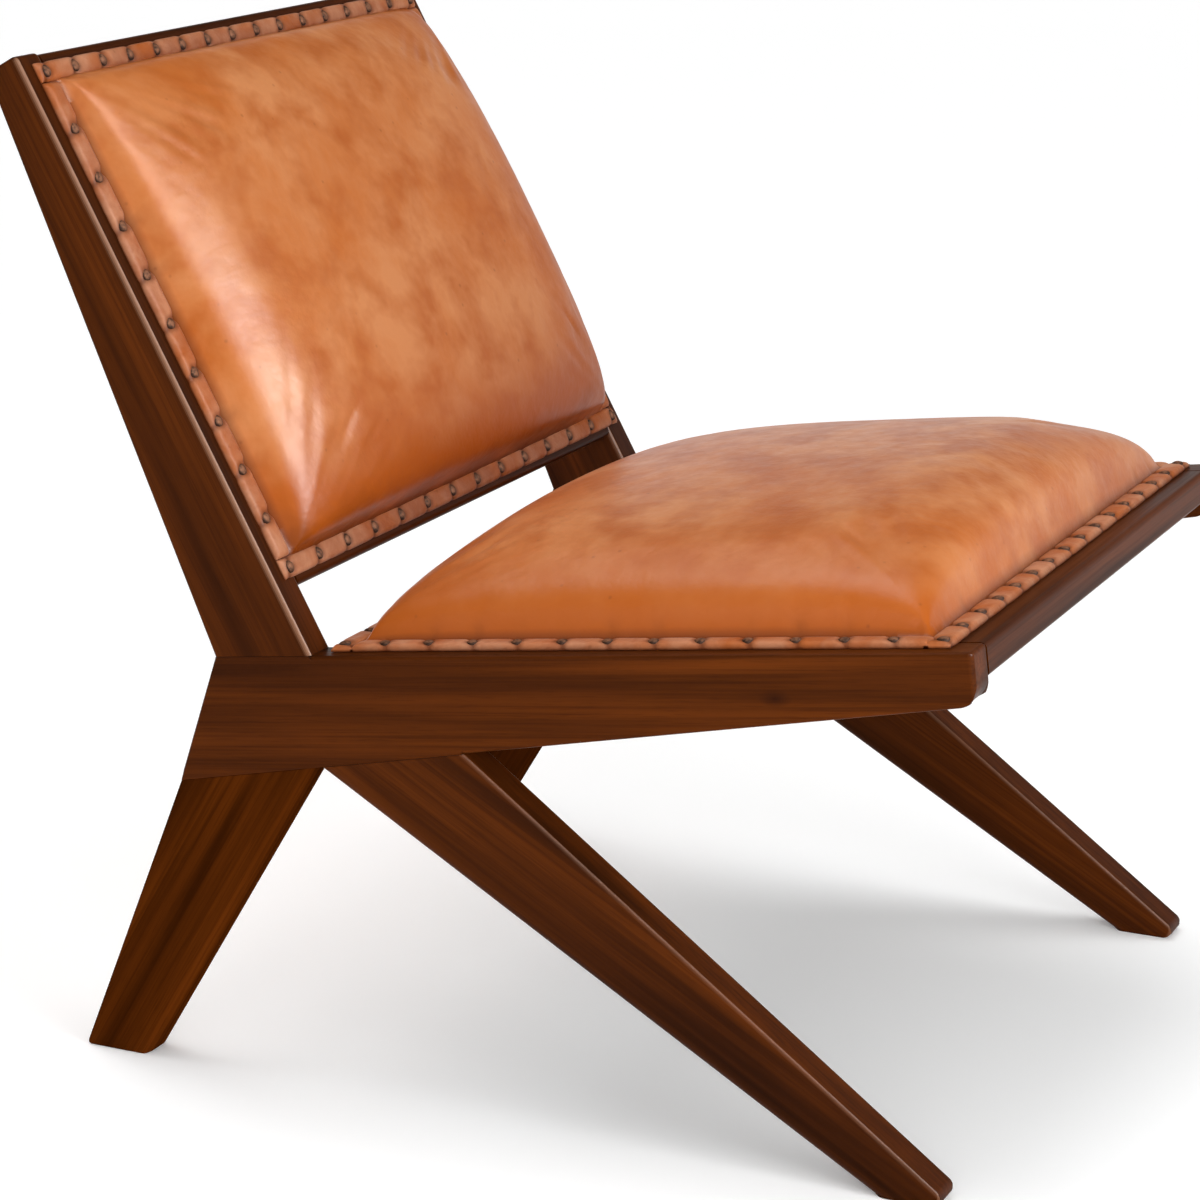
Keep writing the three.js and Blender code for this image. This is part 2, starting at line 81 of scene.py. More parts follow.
# Pads
PAD_STEPS = 140
PAD_CLOUD = 110 * MM
PAD_CLEARANCE = 0.4 * MM
FLANGE_START = 0.96
SEAM_DENSITY = 0.85
# Strength of the painted shade in seams and creases
SEAM_SHADE_STRENGTH = 0.75
PULL_SHADE = 0.8
UNEVEN = 0.25
UNEVEN_STEP = 2.3
SWELL_FRAMES = 20
SWELL_PRESSURE = 4.0
SOFT_CREASE = math.radians(60)

# Bands, nails and thin covers
BAND_STEP = 1.6 * MM
BAND_ROWS = 12
BAND_CLOUD = 24 * MM
BAND_SQUARE = 4
BAND_FULLNESS = 0.6
BAND_PINCHED = 0.9
# Painted shade along the bands' edges
BAND_EDGE_SHADE = 0.5
EDGE_SHADE_POWER = 8
LAP_HELD = 0.6
NAIL_STEPS = 12
NAIL_RINGS = 8
NAIL_SINK = 0.2 * MM
NAIL_SHADE = 1.2
NAIL_SHADE_EDGE = 4
SHEET_STEPS = 24
SHEET_SQUARE = 4
SHEET_CREASE = math.radians(40)

# Studio
WHITE = (1.0, 1.0, 1.0, 1.0)
FLOOR_SPAN = 80
FLOOR_GLOW = 0.12
AMBIENT_LIGHT = 0.5
BACKDROP_EDGE = 0.08
BACKDROP_TOP = 0.46
CEILING_GLOW = 0.08
SUN_PLACE = (0.45, 0.9, 3)
SUN_STRENGTH = 1.25
SUN_SPREAD = math.radians(40)
CAMERA_PLACE = (-2.4466, -1.1092, 1.0762)
CAMERA_TURN = math.radians(25.03)
CAMERA_TILT = math.radians(15.62)
CAMERA_LENS = 104.68

# Sockets of the Mix node when it mixes colours
MIX_FACTOR, MIX_A, MIX_B, MIX_RESULT = 0, 6, 7, 2

# Radians of a wave texture in one unit
WAVE_RADIANS = 20


def linear(hex_colour):
    """Turn an sRGB hex colour into linear red, green and blue, with its alpha."""
    channels = [int(hex_colour[i:i + 2], 16) / 255 for i in (1, 3, 5)]
    return (*(c / 12.92 if c <= 0.04045 else ((c + 0.055) / 1.055) ** 2.4 for c in channels), 1.0)


def measure(name, description, millimetres):
    """A size that the user can change, given in millimetres and kept in metres."""
    return bpy.props.FloatProperty(name=name, description=description, default=millimetres * MM, min=0.0,
                                   unit="LENGTH", precision=4)


def shade(name, description, hex_colour):
    """A colour that the user can change."""
    return bpy.props.FloatVectorProperty(name=name, description=description, size=3, min=0.0, max=1.0,
                                         subtype="COLOR", default=linear(hex_colour)[:3])


class ChairSizes(bpy.types.PropertyGroup):
    """Sizes of what the frame leaves open"""
    crisp_round: measure("Crisp edge", "Round-over on the upper and upright edges", 3)
    soft_round: measure("Soft edge", "Round-over on the lower edges of the legs", 10)
    foot_round: measure("Foot edge", "Round-over round the feet", 2)
    front_round: measure("Front edge", "Round-over on the front of the side rails and posts", 4)
    nose_round: measure("Nose", "Radius of the side rail's lower front corner", 15)
    tip_round: measure("Tip", "Radius of the corners at the top of the posts and the heels", 5)
    toe_cut: measure("Toe cut", "How far the sharp front of a toe is cut back", 16)
    toe_round: measure("Toe", "Radius of the corners that the cut leaves", 6)
    cross_round: measure("Cross rail edge", "Round-over on the outer edges of the cross rails", 5)
    band_puff: measure("Band puff", "Height of a band halfway between two nails", 3.6)
    band_pinch: measure("Band pinch", "Height of a band under a nail", 1.7)
    band_crease: measure("Band crease", "Half the width of the crease at a nail", 3.8)
    band_slant: measure("Crease slant", "Lean of a crease across half the band's width", 4)
    nail_radius: measure("Nail radius", "Radius of a nail's head", 5.2)
    nail_height: measure("Nail height", "Height of a nail's head", 3)
    pad_flange: measure("Pad flange", "How far the leather of a pad runs under the bands", 10)
    pull_share: bpy.props.FloatProperty(
        name="Pull", description="Share of its height that a pad loses at a nail", default=0.25,
        min=0.0, max=1.0, subtype="FACTOR")
    pull_width: measure("Pull width", "Spread of a nail's pull along the seam", 7)
    pull_reach: measure("Pull reach", "Spread of a nail's pull into the pad", 16)
    # Reach of the painted shade in a seam
    seam_width: measure("Seam width", "How far the dye stays dark beside a seam", 2.5)
    # Reach of the rubbed dye and painted shade beside the seams
    rub_and_shade_width: measure("Burnish width", "How far from a seam the leather is rubbed", 62)
    swell_cap: measure("Swell", "Furthest that a point of a pad swells", 3)
    sheet_puff: measure("Cover puff", "How far the rear and dust covers stand out", 3)


class ChairColours(bpy.types.PropertyGroup):
    """Colours of the chair's materials"""
    wood_dark: shade("Wood streak", "Darkest streaks of the wood", "#260E02")
    wood_middle: shade("Wood", "Main colour of the wood", "#4C2206")
    wood_light: shade("Wood light", "Palest streaks of the wood", "#66300B")
    # Painted highlight on the forward-facing round-overs of the boards
    wood_edge_highlight: shade("Wood edge", "Wood where its stain is rubbed thin", "#A87A5E")
    wood_knot: shade("Wood knot", "Knot in the near side rail", "#1C0A04")
    # Painted shade: the darkest colour, low on the back where the seat shades it
    leather_burnt: shade("Leather burnt", "Darkest rubbed leather, low on the back", "#6C2E03")
    # Rubbed dye, dark blots, and painted shade beside the seams
    leather_deep: shade("Leather deep", "Leather rubbed deep beside the seams", "#AE5615")
    leather_main: shade("Leather", "Main colour of the leather", "#C16B2D")
    leather_pale: shade("Leather pale", "Pale patches of the leather", "#CF8652")
    # Small dark marks, and painted shade in seams, creases and round the nails
    leather_seam: shade("Leather seam", "Leather in the seams and creases", "#572610")
    band_main: shade("Band", "Main colour of the bands", "#AC6B4A")
    band_pale: shade("Band pale", "Rubbed tops of the bands", "#C18563")
    brass_dark: shade("Brass patina", "Dark rim of the nails", "#2C180C")
    brass_worn: shade("Brass", "Rubbed tops of the nails", "#6E4832")
    floor: shade("Floor", "Studio floor", "#FFFFFF")


def sizes():
    """The sizes that are set in the scene."""
    return bpy.context.scene.chair_sizes


def colours():
    """The colours that are set in the scene, with their alpha."""
    group = bpy.context.scene.chair_colours
    return {name: (*getattr(group, name), 1.0) for name in ChairColours.__annotations__}


def start_fresh():
    """Leave edit mode and select nothing, so that an operator acts only on what comes next."""
    if bpy.context.object and bpy.context.object.mode != "OBJECT":
        bpy.ops.object.mode_set(mode="OBJECT")
    bpy.ops.object.select_all(action="DESELECT")


def choose(piece):
    """Make one piece the selected and active one."""
    start_fresh()
    piece.select_set(True)
    bpy.context.view_layer.objects.active = piece


def apply_modifiers(piece):
    """Apply a piece's modifiers in order."""
    choose(piece)
    for modifier in list(piece.modifiers):
        bpy.ops.object.modifier_apply(modifier=modifier.name)


def new_grid(name, across, along):
    """A flat grid from -1 to 1, to be shaped into a piece."""
    start_fresh()
    bpy.ops.mesh.primitive_grid_add(x_subdivisions=across, y_subdivisions=along, size=2)
    piece = bpy.context.object
    piece.name = piece.data.name = name
    return piece


def edit_all():
    """Open the active piece for editing, with all of it selected."""
    bpy.ops.object.mode_set(mode="EDIT")
    bpy.ops.mesh.select_all(action="SELECT")


def face_outwards():
    """Turn all faces of the active piece outwards."""
    edit_all()
    bpy.ops.mesh.normals_make_consistent(inside=False)
    bpy.ops.object.mode_set(mode="OBJECT")


def close_underside(panel, height):
    """Carry the rim of the active piece down from this height to its panel, and close it there."""
    bpy.ops.object.mode_set(mode="EDIT")
    bpy.ops.mesh.select_mode(type="EDGE")
    bpy.ops.mesh.select_all(action="DESELECT")
    bpy.ops.mesh.select_non_manifold()
    under = Vector(panel.matrix.col[2][:3]) * -(height - PAD_CLEARANCE)
    bpy.ops.mesh.extrude_region_move(TRANSFORM_OT_translate={"value": under})
    bpy.ops.mesh.edge_face_add()
    bpy.ops.object.mode_set(mode="OBJECT")
    face_outwards()
    bpy.ops.object.shade_smooth_by_angle(angle=SOFT_CREASE)


def places_of(mesh):
    """A mesh's vertices as rows of X, Y and Z."""
    places = np.empty(len(mesh.vertices) * 3)
    mesh.vertices.foreach_get("co", places)
    return places.reshape(-1, 3)


def move_vertices(piece, rule):
    """Move a piece's vertices to where the rule puts them, given as rows of X, Y and Z."""
    piece.data.vertices.foreach_set("co", rule(places_of(piece.data)).ravel())
    piece.data.update()


def write_attribute(piece, name, values, domain="POINT", rest=1.0):
    """Keep one number for each vertex, edge or face, and the same number for all that were added
    after these values were worked out."""
    attribute = piece.data.attributes.new(name, "FLOAT", domain)
    numbers = np.full(len(attribute.data), rest, np.float32)
    numbers[:len(values)] = values
    attribute.data.foreach_set("value", numbers)


def finish_piece(piece, material, slot, *nodes):
    """Give a piece its material, let it ride on the chair and stand for its CAD nodes."""
    piece.data.materials.clear()
    piece.data.materials.append(material)
    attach(piece, BODY)
    if nodes:
        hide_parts(*nodes)


def set_inputs(node, inputs):
    """Give a node's inputs their values, or links from other nodes of its tree."""
    for name, value in inputs.items():
        if isinstance(value, bpy.types.NodeSocket):
            node.id_data.links.new(value, node.inputs[name])
        else:
            node.inputs[name].default_value = value


def add_node(tree, kind, inputs=None, stops=(), output=0, **settings):
    """Add a shader node with its settings, its input values or links, and a ramp's stops. The result
    is the output that other nodes link to."""
    node = tree.nodes.new(f"ShaderNode{kind}")
    for name, value in settings.items():
        setattr(node, name, value)
    set_inputs(node, inputs or {})
    for index, (position, colour) in enumerate(stops):
        ramp = node.color_ramp.elements
        stop = ramp[index] if index < 2 else ramp.new(position)
        stop.position = position
        stop.color = colour if isinstance(colour, tuple) else (colour, colour, colour, 1.0)
    return node.outputs[output]


def new_material(name):
    """An empty material with what adds a node to it, its shader and its object coordinates."""
    material = bpy.data.materials.new(name)
    material.use_nodes = True
    add = partial(add_node, material.node_tree)
    return material, add, material.node_tree.nodes["Principled BSDF"], add("TexCoord", output="Object")


def stained_walnut(name, turn, along, shift, polish=POLISHED, knot=None):
    """Walnut, planed, stained reddish brown and satin lacquered: broad dark and orange bands along
    the board, thin streaks in them, open pores that break the gloss, a painted highlight on the
    round-overs that face forward, and a dark knot where one is given."""
    material, add, shader, place = new_material(name)
    tint = colours()

    def figured(centre, scale):
        """Coordinates for a figure of this size, in line with the board."""
        return add("Mapping", vector_type="TEXTURE", inputs={
            "Vector": place, "Location": centre, "Rotation": (turn, 0, 0), "Scale": scale})

    def grain(across, length):
        """Coordinates for grain of this width and length in millimetres."""
        scale = [across * MM] * 3
        scale[along] = length * MM
        return figured(shift, scale)

    figure = add("TexNoise", inputs={
        "Vector": grain(22, 480), "Scale": 1.0, "Detail": 4.0, "Roughness": 0.5, "Distortion": 0.25})
    streak = add("TexNoise", inputs={
        "Vector": grain(3.2, 320), "Scale": 1.0, "Detail": 3.0, "Roughness": 0.6, "Distortion": 0.15})
    # Real pores are a third of a millimetre wide, so they are drawn wider to show
    pores = add("TexNoise", inputs={
        "Vector": grain(1.1, 24), "Scale": 1.0, "Detail": 1.0, "Roughness": 0.5})
    colour = add("ValToRGB", inputs={"Fac": figure}, stops=[
        (0.25, tint["wood_dark"]), (0.8, tint["wood_light"]), (0.52, tint["wood_middle"])])
    lines = add("ValToRGB", inputs={"Fac": streak}, stops=[(0.34, 0.45), (0.56, 0.0)])
    holes = add("ValToRGB", inputs={"Fac": pores}, stops=[(0.3, 0.2), (0.42, 0.0)])
    # Painted highlight: the edge attribute lays this pale colour on forward-facing round-overs
    edge = add("Attribute", attribute_name="edge", output="Fac")
    layers = [(lines, "wood_dark"), (holes, "wood_dark"), (edge, "wood_edge_highlight")]
    if knot:
        away = add("VectorMath", operation="LENGTH", inputs={0: figured(knot, KNOT_SIZE)}, output="Value")
        core = add("ValToRGB", inputs={"Fac": away}, stops=[(0.1, 0.6), (1.0, 0.0)])
        layers.append((core, "wood_knot"))
    for mask, over in layers:
        colour = add("Mix", data_type="RGBA", output=MIX_RESULT, inputs={
            MIX_FACTOR: mask, MIX_A: colour, MIX_B: tint[over]})
    gloss = add("MapRange", inputs={
        "Value": streak, "From Min": 0.3, "From Max": 0.7, "To Min": 0.36, "To Max": 0.28})
    relief = add("Bump", inputs={"Height": pores, "Strength": 0.12, "Distance": 0.2 * MM})
    set_inputs(shader, {
        "Base Color": colour, "Roughness": gloss, "Normal": relief, "Specular IOR Level": polish})
    return material


def waxed_leather(name, haze, main="leather_main", pale="leather_pale", cloud=PAD_CLOUD):
    """Cowhide, drum dyed tan and waxed by hand: cloudy patches of dye, small dark marks, a tight
    pebbled grain, rubbed dye with painted shade beside the seams, and painted shade in seams and creases."""
    material, add, shader, place = new_material(name)
    tint = colours()
    sheen, specular, roughness = haze
    clouds = add("TexNoise", inputs={
        "Vector": place, "Scale": 1 / cloud, "Detail": 5.0, "Roughness": 0.6, "Distortion": 0.2})
    mottle = add("TexNoise", inputs={
        "Vector": place, "Scale": 1 / (13 * MM), "Detail": 5.0, "Roughness": 0.65})
    smudges = add("TexNoise", inputs={
        "Vector": place, "Scale": 1 / (45 * MM), "Detail": 3.0, "Roughness": 0.55, "Distortion": 0.15})
    marks = add("TexVoronoi", inputs={"Vector": place, "Scale": 1 / (22 * MM), "Randomness": 1.0})
    # Rubbed dye mixed with painted shade beside the seams, strongest low on the back
    rubbed_dye_and_shade = add("Attribute", attribute_name="rubbed_dye_and_shade", output="Fac")
    # Painted shade in seams and creases
    seam = add("Attribute", attribute_name="seam", output="Fac")
    patchy = add("Math", operation="MULTIPLY_ADD", use_clamp=True, inputs={0: clouds, 1: -0.5, 2: 0.25})
    rubbed = add("Math", operation="ADD", use_clamp=True, inputs={0: rubbed_dye_and_shade, 1: patchy})
    # Painted shade where the mask passes 1, low on the back and along its far side
    deepest_painted_shade = add("Math", operation="SUBTRACT", use_clamp=True, inputs={0: rubbed_dye_and_shade, 1: 1.0})
    blot = add("ValToRGB", inputs={"Fac": smudges}, stops=[(0.32, 0.75), (0.58, 0.0)])
    speck = add("ValToRGB", inputs={"Fac": marks}, stops=[(0.02, 0.3), (0.09, 0.0)])
    colour = add("ValToRGB", inputs={"Fac": clouds}, stops=[(0.36, tint[main]), (0.62, tint[pale])])
    for mask, over in ((rubbed, "leather_deep"), (deepest_painted_shade, "leather_burnt"), (blot, "leather_deep"),
                       (speck, "leather_seam"), (seam, "leather_seam")):
        colour = add("Mix", data_type="RGBA", output=MIX_RESULT, inputs={
            MIX_FACTOR: mask, MIX_A: colour, MIX_B: tint[over]})
    # The true grain is under a millimetre, so the pebbles are drawn larger to show
    pebbles = add("TexVoronoi", feature="SMOOTH_F1", inputs={
        "Vector": place, "Scale": 1 / (2.6 * MM), "Smoothness": 0.6})
    relief = add("Bump", inputs={"Height": pebbles, "Strength": 0.1, "Distance": 0.3 * MM})
    for height, strength, depth in ((mottle, 0.12, 1.2 * MM), (clouds, 0.5, 5 * MM)):
        relief = add("Bump", inputs={
            "Height": height, "Strength": strength, "Distance": depth, "Normal": relief})
    gloss = add("MapRange", inputs={
        "Value": mottle, "From Min": 0.3, "From Max": 0.7, "To Min": roughness - 0.05,
        "To Max": roughness + 0.06})
    set_inputs(shader, {
        "Base Color": colour, "Roughness": gloss, "Normal": relief, "Specular IOR Level": specular,
        "Sheen Weight": sheen, "Sheen Roughness": 0.3})
    return material


def antique_brass():
    """Pressed brass, blackened and rubbed back: dark at the rim, dull gold on top of the dome."""
    material, add, shader, place = new_material("Antique brass")
    tint = colours()
    height = add("Attribute", attribute_name="dome", output="Fac")
    tarnish = add("TexNoise", inputs={"Vector": place, "Scale": 1 / (3 * MM)})
    rubbed = add("Math", operation="MULTIPLY", inputs={0: height, 1: tarnish})
    tone = add("ValToRGB", inputs={"Fac": rubbed}, stops=[
        (0.22, tint["brass_dark"]), (0.5, tint["brass_worn"])])
    set_inputs(shader, {
        "Base Color": tone, "Metallic": 0.15, "Roughness": 0.7, "Specular IOR Level": 0.05})
    return material


def bare_beech():
    """Steamed beech, planed and left bare: pale pinkish tan with short darker flecks."""
    material, add, shader, place = new_material("Bare beech")
    flecks = add("TexNoise", inputs={"Vector": place, "Scale": 1 / (2.5 * MM), "Detail": 3.0})
    tone = add("ValToRGB", inputs={"Fac": flecks}, stops=[
        (0.35, linear("#B58E63")), (0.6, linear("#D2B287"))])
    set_inputs(shader, {"Base Color": tone, "Roughness": 0.7})
    return material


def birch_plywood():
    """Birch plywood, sanded: creamy face veneer with soft cloudy figure."""
    material, add, shader, place = new_material("Birch plywood")
    figure = add("TexNoise", inputs={
        "Vector": place, "Scale": 1 / (30 * MM), "Detail": 4.0, "Distortion": 1.0})
    tone = add("ValToRGB", inputs={"Fac": figure}, stops=[
        (0.35, linear("#BC955F")), (0.65, linear("#D3B583"))])
    set_inputs(shader, {"Base Color": tone, "Roughness": 0.75})
    return material


def zinc_steel():
    """Steel wood screws, zinc plated: grey metal with a faint cloud in its gloss."""
    material, add, shader, place = new_material("Zinc plated steel")
    cloud = add("TexNoise", inputs={"Vector": place, "Scale": 1 / (2 * MM)})
    gloss = add("MapRange", inputs={"Value": cloud, "To Min": 0.28, "To Max": 0.45})
    set_inputs(shader, {"Base Color": linear("#A9A9A6"), "Roughness": gloss, "Metallic": 1.0})
    return material


def black_cambric():
    """Cotton cambric, woven and dyed black: dull, with crossing threads. The threads are drawn three
    times as coarse as the real ones, to show."""
    material, add, shader, place = new_material("Black cambric")
    threads = [add("TexWave", wave_type="BANDS", bands_direction=direction, output="Fac", inputs={
        "Vector": place, "Scale": math.tau / (WAVE_RADIANS * 1.5 * MM)}) for direction in ("X", "Y")]
    weave = add("Math", operation="MULTIPLY", inputs=dict(enumerate(threads)))
    tone = add("ValToRGB", inputs={"Fac": weave}, stops=[
        (0.0, linear("#141312")), (1.0, linear("#2E2B28"))])
    relief = add("Bump", inputs={"Height": weave, "Strength": 0.4, "Distance": 0.3 * MM})
    set_inputs(shader, {"Base Color": tone, "Roughness": 0.9, "Normal": relief})
    return material


class PanelFrame:
    """The seat or the back: X across, Y to its rear or top edge, Z out of its face."""

    def __init__(self, name, low, high):
        self.name = name
        self.low = low
        self.high = high
        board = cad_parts[f"{name}_board"].data
        normal = max(board.polygons, key=lambda face: face.area).normal.copy()
        if normal.z < normal.y:
            normal.negate()
        across = Vector((1, 0, 0))
        axes = Matrix((across, normal.cross(across), normal)).transposed().to_4x4()
        face = max((vertex.co for vertex in board.vertices), key=lambda place: place.dot(normal))
        self.matrix = Matrix.Translation(normal * face.dot(normal)) @ axes

    def points(self, node):
        """A CAD node's vertices in the panel's own frame."""
        back = self.matrix.inverted()
        return np.array([back @ vertex.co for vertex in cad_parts[node].data.vertices])

    def box(self, node):
        """Lowest and highest corner of a CAD node in the panel's own frame."""
        points = self.points(node)
        return points.min(0), points.max(0)

    def bands(self):
        """The names of the four bands round the pad: low, high, right and left."""
        return [f"{self.name}_{end}_band" for end in (self.low, self.high, *SIDES)]

    def nails(self, band):
        """Where the nails of a band stand: the tops of its domes."""
        points = self.points(band)
        tops = points[points[:, 2] > points[:, 2].max() - SAME_PLACE]
        return np.unique(np.round(tops[:, :2], 5), axis=0)

    def opening(self):
        """Lowest and highest corner of the pad, inside the bands."""
        low, high, right, left = (self.box(band) for band in self.bands())
        laps = LAPS[self.name]
        return (np.array((right[1][0] + laps[2], low[1][1] + laps[0])),
                np.array((left[0][0] - laps[3], high[0][1] - laps[1])))

    def to_chair(self, points):
        """Points of the panel's frame as places on the chair."""
        turn = np.array(self.matrix)
        return points @ turn[:3, :3].T + turn[:3, 3]


PANELS = {"seat": PanelFrame("seat", "front", "rear"), "back": PanelFrame("back", "bottom", "top")}

# How far below its full height each pad starts, to have room to swell
SWELL_ROOM = {"seat": 6 * MM, "back": 4 * MM}

# How square each pad's dome is across and towards its low and high end, and how full it stays at
# its sides and ends
DOMES = {"seat": (2.0, 5.0, 2.34, 0.28, 0.28), "back": (2.2, 3.35, 2.0, 0.255, 0.27)}

# How much dust and wax pale the leather where it is seen at a slant: sheen, specular level, roughness
HAZES = {"seat": (0.06, 0.3, 0.37), "back": (0.0, 0.08, 0.38), "band": (0.03, 0.03, 0.42)}

# How far the bands puff over each pad at its low, high, right and left seam
LAPS = {"seat": (4 * MM, 3 * MM, 3 * MM, 1 * MM), "back": (0.0, 0.0, 3 * MM, 2 * MM)}

# How much rubbed dye and painted shade each pad gets at its low, high, right and left seam
RUB_AND_SHADE = {"seat": (0.2, 0.1, 1.0, 0.3), "back": (1.7, 0.1, 0.1, 1.1)}

# How strong the painted highlight is on the forward-facing round-overs of each board
EDGE_HIGHLIGHT = {"side_rail": 0.0, "back_post": 0.9, "rear_leg": 0.0, "front_leg": 0.4}

# How much polish shows on each board
POLISH = {"side_rail": POLISHED, "back_post": POLISHED, "rear_leg": 0.0, "front_leg": POLISHED}

# Square lamps: place, aim, energy and width, and whether they light a surface and show as gloss
SOFTBOXES = {
    "side_softbox": ((-2.7, -0.5, 1.2), (0, -0.1, 0.4), 17, 1.6, True, True),
    "front_softbox": ((-0.8, -1.45, 0.6), (0, -0.25, 0.45), 15, 1.0, True, False),
    "front_bank": ((-0.25, -2.1, 1.5), (-0.2, 0.15, 0.5), 460, 1.3, False, True),
    "top_bank": ((-1.1, -1.1, 2.3), (-0.2, 0, 0.3), 150, 1.2, False, True),
}


def sides_of(corners):
    """The sides of an outline, each as its start and its end."""
    return list(zip(corners, corners[1:] + corners[:1]))


def outline_corners(node):
    """Corners of a board's outline in (Y, Z), anticlockwise: where its straight sides meet."""
    places = sorted({(round(v.co.y, 6), round(v.co.z, 6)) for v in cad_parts[node].data.vertices})
    hull = [Vector(places[index]) for index in convex_hull_2d(places)]
    sides = []
    for start, end in sides_of(hull):
        if sides and abs((sides[-1][1] - sides[-1][0]).angle_signed(end - start)) < STRAIGHT:
            sides[-1] = (sides[-1][0], end)
        else:
            sides.append((start, end))
    if abs((sides[-1][1] - sides[-1][0]).angle_signed(sides[0][1] - sides[0][0])) < STRAIGHT:
        sides[0] = (sides.pop()[0], sides[0][1])
    sides = [side for side in sides if (side[1] - side[0]).length > SHORTEST_SIDE]
    corners = []
    for before, after in zip(sides[-1:] + sides[:-1], sides):
        meeting = intersect_line_line(*(place.to_3d() for place in (*before, *after)))
        corners.append(meeting[0].to_2d())
    return corners


def distance_along(place, start, end):
    """How far a place is from a side, and where along the side, from 0 to 1, it is nearest."""
    share = min(1.0, max(0.0, intersect_point_line(place, start, end)[1]))
    return (start.lerp(end, share) - place).length, share


def meets(place, sides):
    """Whether a place lies on one of these sides."""
    return any(distance_along(place, *side)[0] < JOINT_REACH for side in sides)


def with_stops(corners, stops):
    """Corners with more points put in where boards that butt on the sides end."""
    ring = list(corners)
    for stop in stops:
        found = []
        for index, (start, end) in enumerate(sides_of(ring)):
            distance, share = distance_along(stop, start, end)
            if distance < JOINT_REACH and END_SHARE < share < 1 - END_SHARE:
                found.append((distance, index + 1, start.lerp(end, share)))
        if found:
            _, index, place = min(found, key=lambda row: row[0])
            ring.insert(index, place)
    return ring


def add_board(name, corners, reach, rims, crossings):
    """A board with its outline in (Y, Z) and its thickness along X. The two lists give the round-over
    of each side of the outline, and of the edge that crosses the thickness at each corner."""
    start_fresh()
    bpy.ops.mesh.primitive_circle_add(vertices=len(corners), fill_type="NGON")
    board = bpy.context.object
    board.name = board.data.name = name
    for vertex, corner in zip(board.data.vertices, corners):
        vertex.co = (reach[0], *corner)
    edit_all()
    bpy.ops.mesh.extrude_region_move(TRANSFORM_OT_translate={"value": (reach[1] - reach[0], 0, 0)})
    bpy.ops.object.mode_set(mode="OBJECT")
    face_outwards()
    middles = [(start + end) / 2 for start, end in sides_of(corners)]
    radii = []
    for edge in board.data.edges:
        start, end = (board.data.vertices[index].co for index in edge.vertices)
        crosses = abs(start.x - end.x) > SAME_PLACE
        places, values = (corners, crossings) if crosses else (middles, rims)
        middle = ((start + end) / 2).yz
        nearest = min(range(len(places)), key=lambda index: (places[index] - middle).length)
        radii.append(values[nearest])
    widest = max(radii)
    write_attribute(board, "bevel_weight_edge", [radius / widest for radius in radii], "EDGE")
    board.data.materials.append(None)
    board.data.materials.append(None)
    rounding = board.modifiers.new("Round-over", "BEVEL")
    rounding.material = ROUNDED
    rounding.limit_method = "WEIGHT"
    rounding.width = widest
    rounding.segments = ROUND_STEPS
    rounding.use_clamp_overlap = False
    apply_modifiers(board)
    bpy.ops.object.shade_smooth_by_angle(angle=BOARD_CREASE)
    flat_faces = board.modifiers.new("Flat faces", "WEIGHTED_NORMAL")
    flat_faces.keep_sharp = True
    apply_modifiers(board)
    return board


def grain_turn(corners):
    """The angle of a board's longest side, along which its grain runs."""
    run = max((end - start for start, end in sides_of(corners)), key=lambda side: side.length)
    return math.atan2(run.y, run.x)


